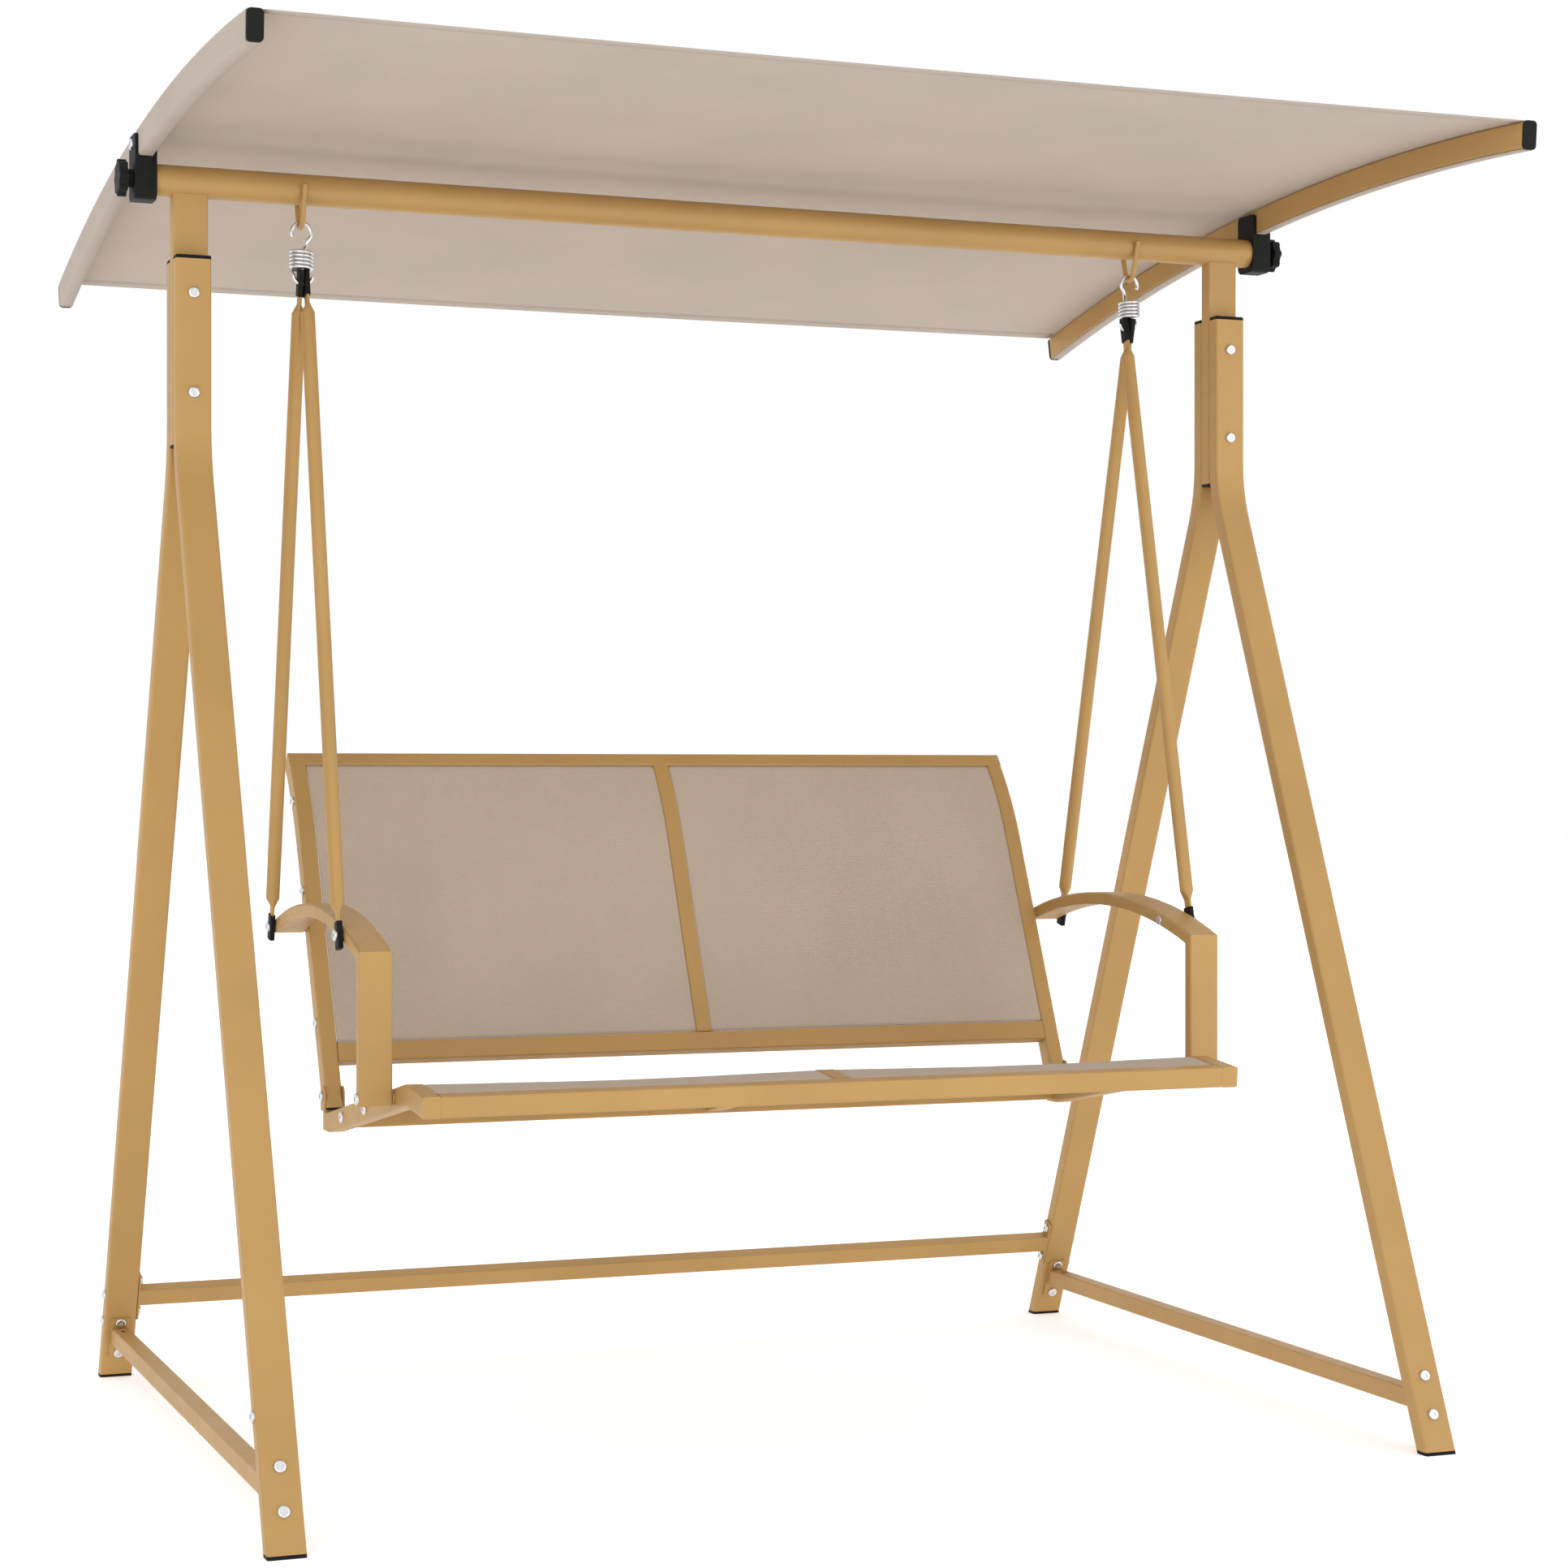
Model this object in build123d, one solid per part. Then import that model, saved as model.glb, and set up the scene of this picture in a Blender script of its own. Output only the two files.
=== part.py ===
"""Two-seat garden swing with an adjustable canopy, built from separate parts.

Units are millimetres. +Z is up, the front of the swing faces -Y and X runs along the top beam.
Heights are measured from the floor. Depths (y) are measured from the plane of the beam axis, with
+ towards the back, and every part is shifted by frame_shift_y when it is written out, so that the
origin lies on the floor under the middle of the swing's overall footprint.
"""
from build123d import *
import math
import os

# ---------------------------------------------------------------- overall
frame_shift_y = 14.238       # puts the overall footprint's centre on the origin
gap = 0.15                  # play left between touching parts
soft_play = 0.3             # clearance round cloth pieces
wall = 1.5                  # steel tube wall

# ---------------------------------------------------------------- A-frames
frame_x = 739.1             # middle of each A-frame from the centre of the swing
leg_width = 45.0            # across the swing
leg_depth = 21.9
leg_top_z = 1511.5
leg_inner_face_y = 11.4     # the straight tops clasp the post between them
leg_knee_z = 1267.0         # height where the two straight runs would meet
leg_bend_radius = 208.0
front_foot_y = -578.0       # outer face of the front leg at the floor
rear_foot_y = 586.0         # outer face of the rear leg at the floor
cap_height = 4.5
foot_cap_height = 4.0

post_depth = 22.6
post_bottom_z = 1279.0
beam_z = 1612.7
beam_radius = 20.0
beam_half_length = 805.0

loop_x = 595.7              # the two rod loops that carry the seat
loop_rod_radius = 3.5
loop_bottom_z = 1561.0
loop_top_z = 1616.0

# ---------------------------------------------------------------- braces
brace_size = 24.0
brace_z = 63.0
plate_thickness = 2.5
brace_plate_length = 64.0
brace_plate_width = 28.0
brace_bolt_spread = 25.0    # from the plate's middle, along the leg
crossbar_z = 122.0
crossbar_height = 25.0      # along the leg
crossbar_depth = 20.0
crossbar_plate_length = 72.0
crossbar_bolt_spread = 25.0

# ---------------------------------------------------------------- fasteners
bolt_radius = 4.0
bolt_hole_radius = 4.3
head_radius = 7.2
head_height = 3.6
recess_length = 6.4         # cross recess in the head
recess_width = 1.5
recess_depth = 1.4
nut_radius = 6.8
nut_height = 6.0
low_nut_radius = 6.2
low_nut_height = 2.8

# ---------------------------------------------------------------- canopy
canopy_arc_radius = 4594.7  # top of the side bars
canopy_arc_y = -345.2       # centre of that arc
canopy_arc_z = -2909.3
canopy_front_angle = -4.22   # degrees from straight up, + towards the back
canopy_rear_angle = 12.57
canopy_bar_x = 796.6
canopy_bar_width = 17.0
canopy_bar_height = 34.0
canopy_fabric_thickness = 1.0
bracket_inner_x = 783.0
bracket_outer_x = 810.5
bracket_half_depth = 22.5
bracket_bottom_z = 1585.0
bracket_top_z = 1667.3
knob_radius = 23.5
knob_inner_x = 818.5
knob_outer_x = 829.5
knob_lobes = 8
knob_stud_radius = 4.0

# ---------------------------------------------------------------- springs and hangers
wire_radius = 2.25
coil_radius = 13.2          # middle of the wire
coil_turns = 5
coil_pitch = 4.8
coil_top_z = 1536.5
hook_radius = 12.75
hook_x = 595.0
lower_hook_x = 592.5
hanger_radius = 9.0
flat_thickness = 3.6        # pressed-flat ends of the hanger tubes
flat_width = 15.5
sleeve_thickness = 7.0
sleeve_width = 18.0
sleeve_length = 34.0
hanger_top_z = 1493.2       # hole for the spring's lower hook
hanger_hole_radius = 4.2
hanger_rear_top_x = 596.5
hanger_front_top_x = 588.5
hanger_low_x = 590.3
front_pin = (-188.0, 664.7)
rear_pin = (205.0, 658.0)

# ---------------------------------------------------------------- armrests
arm_inner_x = 544.4
arm_outer_x = 585.9
arm_thickness = 17.0
arm_arc_y = -3.9
arm_arc_z = -97.8
arm_arc_radius = 794.0      # top of the armrest
arm_front_y = -275.0
arm_rear_y = 212.0
arm_foot_z = 461.7
arm_foot_bolt_z = 470.5

# ---------------------------------------------------------------- seat and back
rail_width = 22.5
rail_depth = 26.5
rail_outer_x = 541.6
rail_inner_x = rail_outer_x - rail_width
rail_wall = 1.2
seat_front_y = -407.4
seat_rear_y = 110.0
seat_front_top_z = 484.2
seat_crest = (-325.0, 492.6)
seat_dip = (85.0, 418.4)
seat_bend_radius = 70.0
front_rail_depth = 22.5
front_rail_height = 26.5
rear_rail_height = 22.0
seat_centre_depth = 19.0
back_cross_depth = 20.0
back_lean = 24.45           # degrees from upright
back_foot = (88.0, 424.0)   # front face of the back's side rails at their lower end
back_bend_z = 770.0
back_bend_radius = 450.0
back_top_sweep = 16.2       # degrees of extra lean at the very top
top_rail_height = 22.0
bottom_rail_height = 27.0
bottom_rail_start = 64.0    # along the side rail, from its lower end
sling_thickness = 1.2
sling_drop = 1.2            # sling surface below the rails' faces
hinge_bolt = (105.0, 437.5)
hinge_plate = 2.4


# ================================================================ helpers
def side_plane(x):
    """Drawing plane seen from the side: local x is depth (Y), local y is height (Z)."""
    return Plane(origin=(x, 0, 0), x_dir=(0, 1, 0), z_dir=(1, 0, 0))


def point_from(start, direction, distance):
    return (start[0] + direction[0] * distance, start[1] + direction[1] * distance)


def unit(angle):
    """Direction in the side plane, leaning back from upright by the angle in degrees."""
    return (math.sin(math.radians(angle)), math.cos(math.radians(angle)))


def rounded_section(path, width, depth, radius, tube_wall):
    """Cross-section of a rectangular tube at the start of a path in the side plane."""
    plane = Plane(origin=path @ 0, x_dir=(1, 0, 0), z_dir=path % 0)
    outer = RectangleRounded(width, depth, radius)
    if tube_wall <= 0:
        return plane * outer
    inner = RectangleRounded(width - 2 * tube_wall, depth - 2 * tube_wall, max(radius - tube_wall, 0.5))
    return plane * (outer - inner)


def swept_tube(path, width, depth, radius=3.0, tube_wall=wall):
    return sweep(rounded_section(path, width, depth, radius, tube_wall), path=path)


def bolt(head_at, direction, length, nut_at=None, radius=bolt_radius):
    """Pan-head bolt. head_at is the point under the head; direction runs along the shank."""
    plane = Plane(origin=head_at, z_dir=direction)
    low = (Align.CENTER, Align.CENTER, Align.MIN)
    head = Cylinder(head_radius, head_height, align=(Align.CENTER, Align.CENTER, Align.MAX))
    head = fillet(head.edges().sort_by(Axis.Z)[0], 2.2)
    for turn in (45, 135):
        head -= Pos(0, 0, -head_height) * Rot(0, 0, turn) * Box(recess_length, recess_width, 2 * recess_depth)
    body = head + Cylinder(radius, length, align=low)
    if nut_at is not None:
        nut = extrude(RegularPolygon(nut_radius, 6), nut_height)
        body += Pos(0, 0, nut_at) * nut
    return plane * body


def hole(point, direction, length, radius=bolt_hole_radius):
    """Straight hole centred on the point."""
    plane = Plane(origin=point, z_dir=direction)
    return plane * Cylinder(radius, length)


def mirrored(shape):
    return mirror(shape, about=Plane.YZ)


# ================================================================ A-frames
class Leg:
    """One bent leg: straight, upright top, then a straight run out to its foot."""

    def __init__(self, side, foot_y):
        self.side = side                       # -1 front, +1 rear
        self.top_y = side * (leg_inner_face_y + gap + leg_depth / 2)
        face_y = side * (leg_inner_face_y + gap + leg_depth)
        self.angle = math.degrees(math.atan((abs(foot_y) - abs(face_y)) / leg_knee_z))
        half_run = leg_depth / 2 / math.cos(math.radians(self.angle))
        self.foot_centre_y = foot_y - side * half_run
        # the middle line meets the upright slightly below the outer face's knee
        slope = math.tan(math.radians(self.angle))
        self.knee_z = (abs(self.foot_centre_y) - abs(self.top_y)) / slope

    def centre_y(self, z):
        return self.foot_centre_y - self.side * z * math.tan(math.radians(self.angle))

    def down(self):
        a = math.radians(self.angle)
        return (0, self.side * math.sin(a), -math.cos(a))

    def outward(self):
        """Normal of the face on the outside of the A."""
        a = math.radians(self.angle)
        return (0, self.side * math.cos(a), math.sin(a))

    def on_axis(self, x, z):
        return (x, self.centre_y(z), z)

    def tube(self, x, width=leg_width, depth=leg_depth, radius=3.5, tube_wall=wall, top=leg_top_z):
        below = -40.0
        path = side_plane(x) * FilletPolyline(
            (self.top_y, top),
            (self.top_y, self.knee_z),
            (self.centre_y(below), below),
            radius=leg_bend_radius,
        )
        return swept_tube(path, width, depth, radius, tube_wall)


def offset_point(point, direction, distance):
    return tuple(p + d * distance for p, d in zip(point, direction))


front_leg = Leg(-1, front_foot_y)
rear_leg = Leg(1, rear_foot_y)
post_bolt_heights = (1468.5, 1343.1)


def floor_cutter(height):
    return Pos(0, 0, height - 200) * Box(4000, 4000, 400)


def plate_bolt_points(leg, x, middle_z, spread, face):
    """Two points on a leg face (face +1 outside of the A, -1 inside), spread along the leg."""
    points = []
    middle = offset_point(leg.on_axis(x, middle_z), leg.outward(), face * leg_depth / 2)
    for sign in (-1, 1):
        points.append(offset_point(middle, leg.down(), sign * spread))
    return points


# bolt lines that cross a leg from its outer face, and from its side faces
front_brace_middle_z = 66.5
rear_brace_middle_z = 66.0
front_brace_points = plate_bolt_points(front_leg, -frame_x, front_brace_middle_z, brace_bolt_spread, 1)
rear_brace_points = plate_bolt_points(rear_leg, -frame_x, rear_brace_middle_z, brace_bolt_spread, -1)
crossbar_side_points = [
    offset_point(rear_leg.on_axis(-frame_x, crossbar_z), rear_leg.down(), sign * crossbar_bolt_spread)
    for sign in (-1, 1)
]
outer_side_heights_rear = (124.6, 86.0)
outer_side_heights_front = (144.6,)


def make_leg(leg, post_holes, brace_points, inner_points, outer_heights):
    body = leg.tube(-frame_x) - floor_cutter(foot_cap_height + gap)
    for z in post_holes:
        body -= hole((-frame_x, leg.top_y, z), (0, 1, 0), 60)
    for point in brace_points:
        body -= hole(point, leg.outward(), 80)
    for point in inner_points:
        inner_face = (-frame_x + leg_width / 2, point[1], point[2])
        body -= hole(inner_face, (1, 0, 0), 12)
    for z in outer_heights:
        outer_face = (-frame_x - leg_width / 2, leg.centre_y(z), z)
        body -= hole(outer_face, (1, 0, 0), 12)
    return body


def make_foot_cap(leg):
    """Plastic foot: a flat sole under the cut end and a short plug up inside the tube."""
    sole = leg.tube(-frame_x, tube_wall=0)
    plug = leg.tube(-frame_x, leg_width - 2 * wall - 0.6, leg_depth - 2 * wall - 0.6, 2.0, 0)
    sole = sole & (Pos(0, 0, foot_cap_height / 2) * Box(4000, 4000, foot_cap_height))
    plug = plug & (Pos(0, 0, foot_cap_height + 7) * Box(4000, 4000, 14.2))
    return sole + plug


def make_top_cap(leg):
    """Plastic cap closing the upper end of a leg."""
    centre = (-frame_x, leg.top_y)
    top = Pos(centre[0], centre[1], leg_top_z + gap) * extrude(
        RectangleRounded(leg_width, leg_depth, 3.5), cap_height)
    top = chamfer(top.edges().group_by(Axis.Z)[-1], 1.0)
    inner = RectangleRounded(leg_width - 2 * wall - 0.6, leg_depth - 2 * wall - 0.6, 2.0)
    plug = Pos(centre[0], centre[1], leg_top_z - 14) * extrude(inner, 14 + gap + 0.2)
    return top + plug


def make_post():
    outer = RectangleRounded(leg_width, post_depth, 3.0)
    inner = RectangleRounded(leg_width - 2 * wall, post_depth - 2 * wall, 1.5)
    body = Pos(-frame_x, 0, post_bottom_z) * extrude(outer - inner, 1600 - post_bottom_z)
    body -= Pos(-frame_x, 0, beam_z) * Rot(0, 90, 0) * Cylinder(beam_radius + gap, 100)
    for z in post_bolt_heights:
        body -= hole((-frame_x, 0, z), (0, 1, 0), 60)
    return body


def make_post_plug():
    sole = RectangleRounded(leg_width, post_depth, 3.0)
    inner = RectangleRounded(leg_width - 2 * wall - 0.6, post_depth - 2 * wall - 0.6, 1.2)
    body = Pos(-frame_x, 0, post_bottom_z - gap - 3) * extrude(sole, 3)
    return body + Pos(-frame_x, 0, post_bottom_z - gap) * extrude(inner, 14)


def make_beam():
    """Round beam with an end disc in each end that takes the clamp knob's stud."""
    tube = Rot(0, 90, 0) * (Cylinder(beam_radius, 2 * beam_half_length)
                            - Cylinder(beam_radius - wall, 2 * beam_half_length + 2))
    for side in (-1, 1):
        disc = Pos(side * (beam_half_length - 8), 0, 0) * Rot(0, 90, 0) * Cylinder(beam_radius - wall, 12)
        disc -= Pos(side * (beam_half_length - 8), 0, 0) * Rot(0, 90, 0) * Cylinder(knob_stud_radius + 0.3, 14)
        tube += disc
    return Pos(0, 0, beam_z) * tube


def make_hanger_loop():
    """Bent rod hung over the beam's front and back, with its bight below for the spring hook."""
    reach = beam_radius + loop_rod_radius + gap
    half_angle = math.radians(18.5)
    bight_z = loop_bottom_z + loop_rod_radius
    top_y = (reach + (loop_top_z - beam_z) * math.sin(half_angle)) / math.cos(half_angle)
    corner_z = beam_z - reach / math.sin(half_angle)
    radius = (bight_z - corner_z) / (1 / math.sin(half_angle) - 1)
    path = side_plane(-loop_x) * FilletPolyline(
        (-top_y, loop_top_z),
        (0, corner_z),
        (top_y, loop_top_z),
        radius=radius,
    )
    start = Plane(origin=path @ 0, z_dir=path % 0)
    return sweep(start * Circle(loop_rod_radius), path=path)


# ================================================================ braces
def make_side_brace():
    """Level square tube along the floor with a slanted plate welded to each end."""
    tube = Pos(-frame_x, 0, brace_z) * Rot(90, 0, 0) * extrude(
        RectangleRounded(brace_size, brace_size, 2.5)
        - RectangleRounded(brace_size - 2 * wall, brace_size - 2 * wall, 1.2), 700, both=True)
    for leg in (front_leg, rear_leg):
        stop = offset_point(leg.on_axis(-frame_x, brace_z), leg.outward(),
                            -(leg_depth / 2 + gap + plate_thickness / 2))
        plane = Plane(origin=stop, x_dir=(1, 0, 0), z_dir=leg.outward())
        tube -= plane * Pos(0, 0, 300) * Box(200, 900, 600)
    body = tube
    for leg, middle, points in ((front_leg, front_brace_middle_z, front_brace_points),
                                (rear_leg, rear_brace_middle_z, rear_brace_points)):
        body += plate_inside_leg(leg, middle)
        for point in points:
            body -= hole(point, leg.outward(), 80)
    return body


def plate_inside_leg(leg, middle):
    """Plate on the inside of the A at the height of the bolts that pass through the leg."""
    axis_point = leg.on_axis(-frame_x, middle)
    centre = offset_point(axis_point, leg.outward(), -(leg_depth / 2 + gap + plate_thickness / 2))
    plane = Plane(origin=centre, x_dir=(1, 0, 0), z_dir=leg.outward())
    return plane * extrude(RectangleRounded(brace_plate_width, brace_plate_length, 3),
                           plate_thickness / 2, both=True)


def make_crossbar():
    """Tube between the rear legs, squared to their lean, with a bolting plate on each end."""
    centre = rear_leg.on_axis(0, crossbar_z)
    plane = Plane(origin=centre, x_dir=rear_leg.down(), z_dir=(1, 0, 0))
    inner_face_x = frame_x - leg_width / 2 - gap
    outer = RectangleRounded(crossbar_height, crossbar_depth, 2.5)
    inner = RectangleRounded(crossbar_height - 2 * wall, crossbar_depth - 2 * wall, 1.2)
    body = plane * extrude(outer - inner, inner_face_x - plate_thickness / 2, both=True)
    for side in (-1, 1):
        plate = Pos(0, 0, side * (inner_face_x - plate_thickness / 2)) * extrude(
            RectangleRounded(crossbar_plate_length, leg_depth - 1.5, 3), plate_thickness / 2, both=True)
        body += plane * plate
        for sign in (-1, 1):
            cut = Pos(sign * crossbar_bolt_spread, 0, side * inner_face_x) * Cylinder(bolt_hole_radius, 12)
            body -= plane * cut
    return body


def make_leg_side_bolts():
    """Short bolts that enter a leg's side wall: crossbar plates and the outer faces."""
    bolts = []
    for side in (-1, 1):
        for point in crossbar_side_points:
            head = (side * (frame_x - leg_width / 2 - gap - plate_thickness - 0.1), point[1], point[2])
            bolts.append(bolt(head, (side, 0, 0), 14))
        outer_x = side * (frame_x + leg_width / 2 + 0.1)
        for leg, heights in ((rear_leg, outer_side_heights_rear), (front_leg, outer_side_heights_front)):
            for z in heights:
                bolts.append(bolt((outer_x, leg.centre_y(z), z), (-side, 0, 0), 14))
    return bolts


def make_post_bolts():
    bolts = []
    face = leg_inner_face_y + gap + leg_depth + 0.1
    for side in (-1, 1):
        for z in post_bolt_heights:
            bolts.append(bolt((side * frame_x, -face, z), (0, 1, 0), 2 * face + 8, nut_at=2 * face))
    return bolts


def make_brace_bolts():
    bolts = []
    stack = leg_depth + gap + plate_thickness + 0.2
    for side in (-1, 1):
        for point in front_brace_points:
            inward = tuple(-c for c in front_leg.outward())
            head = offset_point((side * frame_x, point[1], point[2]), front_leg.outward(), 0.1)
            bolts.append(bolt(head, inward, stack + 8, nut_at=stack))
        for point in rear_brace_points:
            shift = -(gap + plate_thickness + 0.1)
            head = offset_point((side * frame_x, point[1], point[2]), rear_leg.outward(), shift)
            bolts.append(bolt(head, rear_leg.outward(), stack + 8, nut_at=stack))
    return bolts


# ================================================================ canopy
canopy_axis = Axis((0, canopy_arc_y, canopy_arc_z), (-1, 0, 0))


def canopy_angle_plane(angle):
    """Cross-section plane of the canopy at an angle on its arc: local y points outward."""
    lean = math.radians(angle)
    backwards = (0, -math.cos(lean), math.sin(lean))
    return Plane(origin=(0, canopy_arc_y, canopy_arc_z), x_dir=(1, 0, 0), z_dir=backwards)


def canopy_revolve(sketch, start, end):
    """Revolve a cross-section drawn as (x, radius) between two angles of the arc."""
    face = canopy_angle_plane(start) * sketch
    return revolve(face, axis=canopy_axis, revolution_arc=end - start)


def box_section(x_low, x_high, r_low, r_high, radius=0.0):
    width = x_high - x_low
    height = r_high - r_low
    shape = RectangleRounded(width, height, radius) if radius > 0 else Rectangle(width, height)
    return Pos((x_low + x_high) / 2, (r_low + r_high) / 2) * shape


bar_low = canopy_arc_radius - canopy_bar_height
bar_x_in = canopy_bar_x - canopy_bar_width / 2
bar_x_out = canopy_bar_x + canopy_bar_width / 2


def make_canopy_bar():
    outer = box_section(-bar_x_out, -bar_x_in, bar_low, canopy_arc_radius, 3.0)
    inner = box_section(-bar_x_out + wall, -bar_x_in - wall, bar_low + wall, canopy_arc_radius - wall, 1.5)
    body = canopy_revolve(outer - inner, canopy_front_angle, canopy_rear_angle)
    return body - bracket_screw_hole()


def make_bar_plug(angle, direction):
    """Rounded plastic plug: a thin flange on the bar's end and a tongue inside it."""
    plane = canopy_angle_plane(angle)
    flange = box_section(-bar_x_out - 1, -bar_x_in + 1, bar_low - 1, canopy_arc_radius + 1, 5.5)
    tongue = box_section(-bar_x_out + wall + 0.3, -bar_x_in - wall - 0.3,
                         bar_low + wall + 0.3, canopy_arc_radius - wall - 0.3, 1.2)
    flange = plane * Pos(0, 0, direction * gap) * extrude(flange, direction * 3)
    tongue = plane * Pos(0, 0, direction * gap) * extrude(tongue, -direction * 15)
    return flange + tongue


def make_canopy_fabric():
    """One sheet over the top, with a sleeve round the outer side and underside of each bar."""
    r_in = canopy_arc_radius + soft_play
    r_out = r_in + canopy_fabric_thickness
    x_in = bar_x_out + soft_play
    x_out = x_in + canopy_fabric_thickness
    r_floor = bar_low - soft_play
    profile = box_section(-x_out, x_out, r_in, r_out)
    for side in (-1, 1):
        wall_low, wall_high = sorted((side * x_in, side * x_out))
        profile += box_section(wall_low, wall_high, r_floor - canopy_fabric_thickness, r_out)
        hem_low, hem_high = sorted((side * x_out, side * bar_x_in))
        profile += box_section(hem_low, hem_high, r_floor - canopy_fabric_thickness, r_floor)
    inset = 0.03            # the cloth stops just short of the plugs
    sheet = canopy_revolve(profile, canopy_front_angle + inset, canopy_rear_angle - inset)
    screw = bracket_screw_hole()
    return sheet - screw - mirrored(screw)


def bracket_screw_hole():
    return hole((-bracket_outer_x + 5.0, 0, 1655.5), (1, 0, 0), 20, 3.3)


def make_bracket():
    """Plastic clamp: a closed collar on the beam's end below, a cradle for the bar above."""
    width = bracket_outer_x - bracket_inner_x
    middle_x = (bracket_outer_x + bracket_inner_x) / 2
    height = bracket_top_z - bracket_bottom_z
    body = Pos(-middle_x, 0, (bracket_top_z + bracket_bottom_z) / 2) * Box(
        width, 2 * bracket_half_depth, height)
    body = fillet(body.edges().filter_by(Axis.X).group_by(Axis.Z)[0], 10.0)
    body = fillet(body.edges().filter_by(Axis.X).group_by(Axis.Z)[-1], 7.0)
    body -= Pos(-bracket_inner_x, 0, beam_z) * Rot(0, 90, 0) * Cylinder(
        beam_radius + 0.3, 2 * (beam_half_length + 0.5 - bracket_inner_x))
    play = soft_play * 2 + canopy_fabric_thickness
    channel = box_section(-bar_x_out - play, -bar_x_in + 0.3, bar_low - play, canopy_arc_radius + 40)
    body -= canopy_revolve(channel, canopy_front_angle, canopy_rear_angle)
    body -= Pos(-bracket_outer_x, 0, beam_z) * Rot(0, 90, 0) * Cylinder(knob_stud_radius + 0.4, 20)
    body -= bracket_screw_hole()
    return body


def make_bracket_screw():
    head = (-bracket_outer_x - 0.1, 0, 1655.5)
    return bolt(head, (1, 0, 0), 14.0, radius=3.0)


def make_knob():
    """Lobed hand knob with a neck and a threaded stud along the beam's axis."""
    thickness = knob_outer_x - knob_inner_x
    lobe = 5.4
    ring = knob_radius - lobe
    disc = Circle(ring + 2.4)
    for i in range(knob_lobes):
        disc += PolarLocations(ring, 1, start_angle=i * 360 / knob_lobes) * Circle(lobe)
    head = extrude(disc, thickness)
    head = fillet(head.edges().group_by(Axis.Z)[-1], 1.6)
    neck = Pos(0, 0, -7.6) * extrude(Circle(11.5), 7.6)
    stud = Pos(0, 0, -7.6 - 22) * extrude(Circle(knob_stud_radius), 22)
    body = head + neck + stud
    return Plane(origin=(-knob_inner_x, 0, beam_z), x_dir=(0, 1, 0), z_dir=(-1, 0, 0)) * body


# ================================================================ springs
def spring_points():
    """Middle line of the spring wire: upper hook, close coil, lower hook."""
    upper_z = loop_bottom_z + 2 * loop_rod_radius + wire_radius + 0.2 - hook_radius
    lower_z = hanger_top_z - 1.45 + hook_radius
    first_turn = 110
    last_turn = 130
    points = []
    for degrees in range(205, -60, -25):
        a = math.radians(degrees)
        points.append((-hook_x + hook_radius * math.cos(a), 0, upper_z + hook_radius * math.sin(a)))
    points.append((-hook_x + 4.0, 6.0, coil_top_z + 2.0))
    wound = 360 * coil_turns + last_turn - first_turn
    steps = 13 * coil_turns
    for i in range(steps + 1):
        turned = wound * i / steps
        a = math.radians(first_turn + turned)
        z = coil_top_z - wire_radius - coil_pitch * turned / 360
        points.append((-hook_x + coil_radius * math.cos(a), coil_radius * math.sin(a), z))
    points.append((-lower_hook_x - hook_radius - 0.6, 4.0, points[-1][2] - 3.0))
    for degrees in range(185, 350, 20):
        a = math.radians(degrees)
        points.append((-lower_hook_x + hook_radius * math.cos(a), 0, lower_z + hook_radius * math.sin(a)))
    return points


def make_spring():
    path = Spline(*spring_points())
    start = Plane(origin=path @ 0, z_dir=path % 0)
    return sweep(start * Circle(wire_radius), path=path)


# ================================================================ hangers
def hanger_frame(pin, low_x, top_x):
    """Directions along a hanger from its lower pin to its upper hole."""
    low = Vector(-low_x, pin[0], pin[1])
    top = Vector(-top_x, 0, hanger_top_z)
    along = (top - low).normalized()
    return low, top, along


def hanger_plane(origin, along):
    """Section plane across the hanger with local x across the swing."""
    side = Vector(1, 0, 0)
    side = (side - along * side.dot(along)).normalized()
    return Plane(origin=origin, x_dir=side, z_dir=along)


def make_hanger(pin, low_x, top_x):
    """Round tube pressed flat at both ends, with a hole through each flat."""
    low, top, along = hanger_frame(pin, low_x, top_x)
    round_section = RectangleRounded(2 * hanger_radius, 2 * hanger_radius, hanger_radius - 0.05)
    flat_section = RectangleRounded(flat_thickness, flat_width, flat_thickness / 2 - 0.05)
    length = (top - low).length
    flat_end = 28.0
    round_start = 40.0
    pieces = []
    for origin, sign in ((low, 1), (top, -1)):
        a = hanger_plane(origin + along * (-sign * 11.0), along)
        b = hanger_plane(origin + along * (sign * flat_end), along)
        c = hanger_plane(origin + along * (sign * round_start), along)
        pieces.append(extrude(a * flat_section, sign * (11.0 + flat_end)))
        pieces.append(loft([b * flat_section, c * round_section]))
    middle = hanger_plane(low + along * round_start, along)
    pieces.append(extrude(middle * round_section, length - 2 * round_start))
    body = pieces[0]
    for piece in pieces[1:]:
        body += piece
    bore = hanger_plane(low + along * (round_start + 4), along)
    body -= extrude(bore * Circle(hanger_radius - 1.2), length - 2 * round_start - 8)
    body -= hole(low, (1, 0, 0), 30)
    body -= hole(top, (1, 0, 0), 30, hanger_hole_radius)
    return body


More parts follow.
